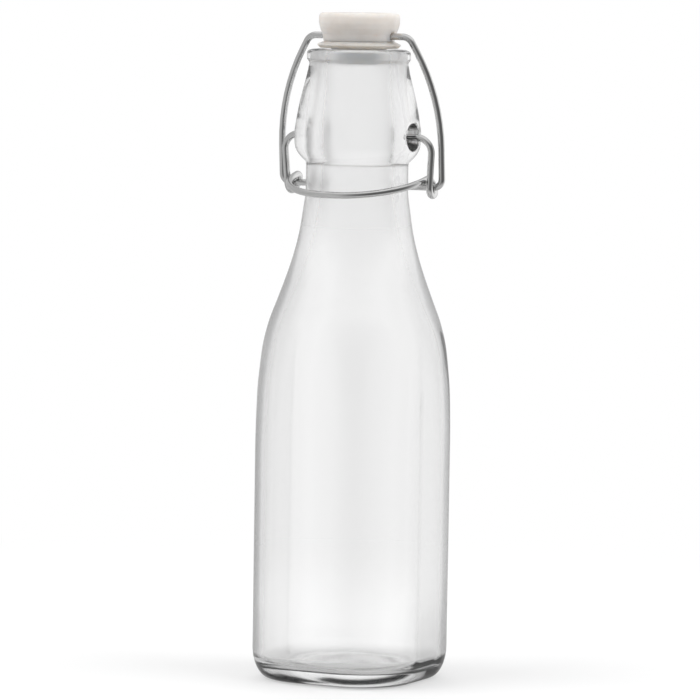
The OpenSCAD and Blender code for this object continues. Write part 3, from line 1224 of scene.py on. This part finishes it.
@dataclass
class SwingTopWires:
    """The lower wire with its lever arc, and the upper wire that holds the stopper."""

    hinge_z: float = HINGE_Z
    pin_z: float = PIN_Z
    pin_tip_x: float = 13.7
    lever_x: float = 24.5
    bail_x: float = 26.7
    bend_r: float = 4.6
    eye_r: float = 2.6
    eye_drop: float = 14.8
    eye_back: float = 3.3
    leg_in: float = 0.7
    eye_lean: float = 20.0
    arc_slope: float = 13.5
    arc_reach: float = 17.05
    top_x: float = 14.5
    top_bend_r: float = 3.6
    top_bend: float = 60.0
    sweep_r: float = 58.0
    hook_r: float = 2.6
    hook_x: float = 15.9

    def lever(self) -> BentWire:
        """Bend the lower wire: pin, leg, eye and half the lever's arc on each side.

        Returns:
            The wire.
        """
        lean = (math.degrees(math.atan2(self.eye_back, self.eye_drop))
                - math.degrees(math.asin(self.eye_r / math.hypot(self.eye_back, self.eye_drop))))
        lean_in = math.degrees(math.atan2(self.leg_in, self.eye_drop - self.bend_r))
        turn = self.arc_slope - lean
        c, s = cos_sin(lean)
        ci, si = cos_sin(lean_in)
        ce, se = cos_sin(self.eye_lean)
        ct, st = cos_sin(turn)
        start = self.eye_back * s + self.eye_drop * c + self.eye_r * (ce - ci)
        leg = (start - self.bend_r * (1 + si)) / ci
        arc_back = self.eye_r * (1 - st)
        arc_down = start + self.eye_r * (ci - 2 * ce + 1 - ct)
        arc_y = arc_back * c + arc_down * s
        front_r = (self.arc_reach + arc_y) / math.cos(math.radians(self.arc_slope))
        arc_x = (self.lever_x - self.bend_r * (1 - ci) - leg * si - self.eye_r * si
                 - 2 * self.eye_r * se)
        steps = (WireStep(self.lever_x - self.bend_r - self.pin_tip_x, self.bend_r,
                          90 + lean_in, lean),
                 WireStep(leg, self.eye_r, 90, 90),
                 WireStep(0, self.eye_r, 180, -self.eye_lean - lean_in),
                 WireStep(0, self.eye_r, turn, -self.eye_lean),
                 WireStep(0, front_r, 90, -90),
                 WireStep(arc_x - front_r))
        return BentWire("lever_wire_drawn", steps, Vector((self.pin_tip_x, 0, self.hinge_z)),
                        Body.LEVER, CadNode.LEVER_WIRE, middle_first=False)

    def upper(self) -> BentWire:
        """Bend the upper wire: straight through the stopper, slanting leg, hooked end.

        Returns:
            The wire.
        """
        drop = self.pin_z - self.hinge_z + self.eye_drop
        lean = math.degrees(math.atan2(self.eye_back, drop))
        c, s = cos_sin(self.top_bend)
        slant = (self.bail_x - self.top_x - self.top_bend_r * s - self.sweep_r * (1 - s)) / c
        straight = (math.hypot(self.eye_back, drop) - self.hook_r
                    - self.top_bend_r * (1 - c) - slant * s - self.sweep_r * c)
        steps = (WireStep(self.top_x, self.top_bend_r, self.top_bend, lean),
                 WireStep(slant, self.sweep_r, 90 - self.top_bend, 0),
                 WireStep(straight, self.hook_r, 90, 0),
                 WireStep(self.bail_x - self.hook_r - self.hook_x))
        return BentWire("upper_wire_drawn", steps, Vector((0, 0, self.pin_z)),
                        Body.BAIL, CadNode.UPPER_WIRE, middle_first=True)

    def build(self, rack: FinishRack) -> None:
        """Make and dress both wires."""
        for wire in (self.lever(), self.upper()):
            wire.build(rack)


# Stopper and soft ring


@dataclass
class Stopper:
    """The plastic stopper with its stem and button, and the soft ring on the stem.

    The side is a row of corners between the foot and the crown: how far each stands out
    from the foot's radius, its share of the rise, and the radius that rounds it.
    """

    mouth_z: float = MOUTH_Z
    pin_z: float = PIN_Z
    head_r: float = 12.15
    foot_r: float = 10.6
    head_top: float = 11.0
    head_foot: float = 2.3
    stem_r: float = 4.5
    button_r: float = 5.6
    button_drop: float = 4.6
    button_t: float = 2.2
    ring_r: float = 12.7
    seal_r: float = 11.6
    seal_gap: float = 0.36
    plug_r: float = 8.5
    plug_end_r: float = 6.3
    fit: float = 0.05
    hole_r: float = 1.08
    hole_columns: int = 32
    pocket_r: float = 1.8
    pocket_in: float = 0.4
    flare_in: float = 1.6
    columns: int = 96
    chords: int = 5
    crisp_angle: float = 38.0
    side: Sequence[tuple[float, float, float]] = (
        (0.4, 0.25, 2.0), (1.1, 0.45, 3.0), (1.47, 0.62, 3.0))

    def head_outline(self) -> list[tuple[float, float]]:
        """Outline the plastic, from the button's end over the side to the crown.

        Returns:
            Pairs of radius and height.
        """
        end = self.mouth_z - self.button_drop
        top = self.mouth_z + self.head_top
        foot = self.mouth_z + self.head_foot
        rise = self.head_top - self.head_foot
        corners = [
            (0.0, end, 0), (self.button_r * 0.82, end, 0.6),
            (self.button_r, end + 0.8, 0.7), (self.button_r, end + self.button_t, 0.4),
            (self.stem_r, end + self.button_t, 0.2), (self.stem_r, foot, 0.2),
            (self.foot_r, foot, 0.45),
            *[(self.foot_r + out, foot + rise * share, r) for out, share, r in self.side],
            (self.head_r, top - 0.12, 1.7),
            (self.head_r * 0.6, top - 0.03, 2.0), (1.6, top, 0), (1.3, top - 0.12, 0),
            (0.0, top - 0.16, 0)]
        return rounded_outline(corners, self.chords)

    def build_head(self, rack: FinishRack) -> None:
        """Make and dress the plastic, with the hole that the upper wire runs through.

        Args:
            rack: The finishes.
        """
        head = turned_mesh("stopper_plastic_head", self.head_outline(), self.columns)
        reach = self.head_r + 0.6
        pocket = self.head_r - self.pocket_in
        flare = self.head_r - self.flare_in
        cutter = turned_mesh(
            "pin_hole",
            [(0, -reach), (self.pocket_r, -reach), (self.pocket_r, -pocket),
             (self.hole_r, -flare), (self.hole_r, flare), (self.pocket_r, pocket),
             (self.pocket_r, reach), (0, reach)], self.hole_columns)
        turn = Matrix.Rotation(math.pi / 2, 4, "Y")
        cutter.data.transform(Matrix.Translation((0, 0, self.pin_z * MM)) @ turn)
        carve(head, cutter)
        smooth_by_angle(head, self.crisp_angle)
        rack.dress(head, Slot.PLASTIC, Body.STOPPER, CadNode.STOPPER)

    def build_ring(self, rack: FinishRack) -> None:
        """Make and dress the soft ring with its plug.

        Args:
            rack: The finishes.
        """
        bottom = self.mouth_z + self.seal_gap
        foot = self.mouth_z + self.head_foot
        plug = self.mouth_z - self.button_drop + self.button_t + self.fit
        edge = bottom + (foot - bottom) * 0.55
        inner = self.stem_r + self.fit
        corners = [(inner, plug, 0.1), (self.plug_end_r, plug, 0.4), (self.plug_r, bottom, 0.3),
                   (self.seal_r, bottom, 0.35), (self.ring_r, edge, 0.3),
                   (self.foot_r + 0.1, foot, 0.2), (inner, foot, 0.1), (inner, plug, 0.1)]
        ring = turned_mesh("soft_ring_seal", rounded_outline(corners, self.chords),
                           self.columns)
        weld(ring)
        smooth_by_angle(ring, self.crisp_angle)
        rack.dress(ring, Slot.SILICONE, Body.STOPPER, CadNode.SOFT_RING)

    def build(self, rack: FinishRack) -> None:
        """Make and dress the stopper and the soft ring."""
        self.build_head(rack)
        self.build_ring(rack)


# Studio


def looking(azimuth: float, distance: float, height: float, target: Vector) -> Matrix:
    """Stand something beside the bottle, turned to look at a point.

    Args:
        azimuth: Direction from the front in degrees.
        distance: Distance from the bottle's axis.
        height: Height over the foot.
        target: The point.

    Returns:
        Its place in the world.
    """
    c, s = cos_sin(azimuth)
    spot = Vector((s * distance, -c * distance, height))
    look = (target - spot).to_track_quat("-Z", "Y").to_matrix().to_4x4()
    return Matrix.Translation(spot) @ look


@dataclass(frozen=True)
class PhotoCamera:
    """The camera at the photograph's angle. Angles are in degrees, the lens in mm."""

    azimuth: float = 27.0
    distance: float = 1.4
    height: float = 0.214
    aim_height: float = 0.0985
    aim_left: float = 0.0013
    roll: float = 0.9
    lens: float = 241.0
    sensor: float = 36.0
    farthest: float = 50.0

    def place(self) -> None:
        """Create the camera and make it the scene's own."""
        right = Vector((*cos_sin(self.azimuth), 0))
        aim = Vector((0, 0, self.aim_height)) - right * self.aim_left
        camera = bpy.data.objects.new("camera", bpy.data.cameras.new("camera"))
        camera.data.lens = self.lens
        camera.data.sensor_width = self.sensor
        camera.data.clip_end = self.farthest
        stand = looking(self.azimuth, self.distance, self.height, aim)
        camera.matrix_world = stand @ Matrix.Rotation(math.radians(self.roll), 4, "Z")
        bpy.context.scene.collection.objects.link(camera)
        bpy.context.scene.camera = camera


@dataclass(frozen=True)
class SoftBox:
    """One large soft lamp, left out of gloss. Angles are in degrees, lengths in metres."""

    name: str
    azimuth: float
    height: float
    distance: float
    width: float
    power: float
    aim_height: float = 0.1

    def place(self) -> None:
        """Create the lamp, pointed at the bottle's middle."""
        lamp = bpy.data.lights.new(self.name, "AREA")
        lamp.shape = "DISK"
        lamp.size = self.width
        lamp.energy = self.power
        obj = bpy.data.objects.new(self.name, lamp)
        obj.matrix_world = looking(self.azimuth, self.distance, self.height,
                                   Vector((0, 0, self.aim_height)))
        obj.visible_glossy = False
        obj.visible_transmission = False
        bpy.context.scene.collection.objects.link(obj)


@dataclass(frozen=True)
class Studio:
    """Pale floor, white surroundings and soft lamps.

    Each range of the room is the cosine of the angle from its middle, or for the light
    overhead the upward share of the way, where its level starts and where it is full.
    """

    floor_r: float = 600.0
    floor_middle_r: float = 200.0
    floor_columns: int = 96
    floor_drop: float = 0.2
    fade_from: float = 0.11
    fade_to: float = 0.34
    floor_colour: Colour = (0.55, 0.55, 0.55)
    floor_lift: float = 0.38
    ambient: float = 0.62
    dark_azimuth: float = 57.0
    dark_level: float = 0.14
    dark_range: tuple[float, float] = (0.1, 0.95)
    light_azimuth: float = 117.0
    light_level: float = 1.2
    light_range: tuple[float, float] = (0.26, 0.77)
    plain_level: float = 0.62
    overhead_range: tuple[float, float] = (0.35, 0.9)
    lamps: Sequence[SoftBox] = (SoftBox("key_left", -48, 1.5, 1.6, 2.2, 26),
                                SoftBox("fill_right", 100, 1.1, 1.6, 2.2, 23),
                                SoftBox("back_soft", 207, 1.6, 1.8, 2.0, 12))

    def seen_directly(self, graph: Graph) -> NodeSocket:
        """Mask of the rays that look at the surroundings: camera, gloss and glass."""
        path = graph.add("LightPath").outputs
        return graph.maths("MAXIMUM", path["Is Camera Ray"], path["Is Glossy Ray"],
                           path["Is Transmission Ray"])

    def mirrored(self, graph: Graph) -> NodeSocket:
        """Mask of the rays that come from a reflection and not through glass."""
        path = graph.add("LightPath").outputs
        return graph.maths("MAXIMUM", 0.0, graph.maths(
            "SUBTRACT", path["Is Glossy Ray"], path["Is Transmission Ray"]))

    def room_group(self) -> NodeTree:
        """Build the level of the room as gloss shows it, with a light and a dark side.

        Returns:
            A group that takes a direction and puts out a level.
        """
        graph, given, end = new_group("room_level", "Way", {}, ("Level",))
        way = graph.add("SeparateXYZ", {"Vector": given["Way"]}).outputs
        azimuth = graph.maths("ARCTAN2", way["X"], graph.maths("MULTIPLY", way["Y"], -1.0))
        light, dark = (
            graph.maths("COSINE", graph.maths("SUBTRACT", azimuth, math.radians(side)))
            for side in (self.light_azimuth, self.dark_azimuth))
        level = graph.spread(light, self.plain_level, self.light_level, *self.light_range,
                             smooth=True)
        level = graph.spread(dark, level, self.dark_level, *self.dark_range, smooth=True)
        overhead = graph.spread(way["Z"], 0.0, 1.0, *self.overhead_range, smooth=True)
        graph.feed(end, {"Level": graph.maths("MAXIMUM", level, overhead)})
        return graph.tree

    def seen_level(self, graph: Graph, room: NodeTree, way: NodeSocket) -> NodeSocket:
        """Level the surroundings: white to look at, plain as light, graded in gloss.

        Args:
            graph: The graph of the world or the floor.
            room: The room's level group.
            way: Direction in which the surroundings are seen.

        Returns:
            The level.
        """
        plain = graph.spread(self.seen_directly(graph), self.ambient, 1.0)
        graded = graph.effect(room, {"Way": way})["Level"]
        return graph.mix(self.mirrored(graph), plain, graded)

    def surroundings(self, room: NodeTree) -> None:
        """Make the world white to look at and plain in level for its light.

        Args:
            room: The room's level group.
        """
        world = bpy.data.worlds.new("studio")
        bpy.context.scene.world = world
        world.use_nodes = True
        world.node_tree.nodes.clear()
        graph = Graph(world.node_tree)
        way = graph.add("TexCoord").outputs["Generated"]
        light = graph.add("Background", {"Color": WHITE,
                                         "Strength": self.seen_level(graph, room, way)})
        graph.add("OutputWorld", {"Surface": light.outputs[0]})

    def floor(self, room: NodeTree) -> None:
        """Lay the pale floor, which keeps the shadow and melts into the surroundings.

        Args:
            room: The room's level group.
        """
        disc = turned_mesh("floor", [(0, 0), (self.floor_middle_r, 0), (self.floor_r, 0)],
                           self.floor_columns, -self.floor_drop)
        material = bpy.data.materials.new("pale_floor")
        material.use_nodes = True
        material.node_tree.nodes.clear()
        graph = Graph(material.node_tree)
        place = graph.add("TexCoord").outputs["Object"]
        matt = graph.add("BsdfDiffuse", {"Color": (*self.floor_colour, 1)})
        direct = graph.maths("SUBTRACT", self.seen_directly(graph), self.mirrored(graph))
        lift, far = (graph.add("Emission", {"Color": WHITE, "Strength": strength})
                     for strength in (graph.maths("MULTIPLY", direct, self.floor_lift),
                                      self.seen_level(graph, room, place)))
        near = graph.add("AddShader", {0: matt.outputs[0], 1: lift.outputs[0]})
        reach = graph.add("VectorMath", {0: place}, operation="LENGTH").outputs["Value"]
        fade = graph.spread(reach, 0.0, 1.0, self.fade_from, self.fade_to, True)
        mix = graph.add("MixShader", {0: fade, 1: near.outputs[0], 2: far.outputs[0]})
        graph.add("OutputMaterial", {"Surface": mix.outputs[0]})
        disc.data.materials.append(material)

    def build(self) -> None:
        """Set the colour handling, floor, surroundings, lamps and camera."""
        bpy.context.scene.view_settings.view_transform = "Standard"
        room = self.room_group()
        self.surroundings(room)
        self.floor(room)
        for lamp in self.lamps:
            lamp.place()
        PhotoCamera().place()


def main() -> None:
    """Build every part in order."""
    logging.basicConfig(level=logging.INFO, format="%(name)s: %(message)s")
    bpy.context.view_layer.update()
    rack = FinishRack()
    Studio().build()
    for part in (GlassBottle(), SwingTopWires(), Stopper()):
        part.build(rack)
        LOG.info("%s done", type(part).__name__)


if __name__ == "__main__":
    main()
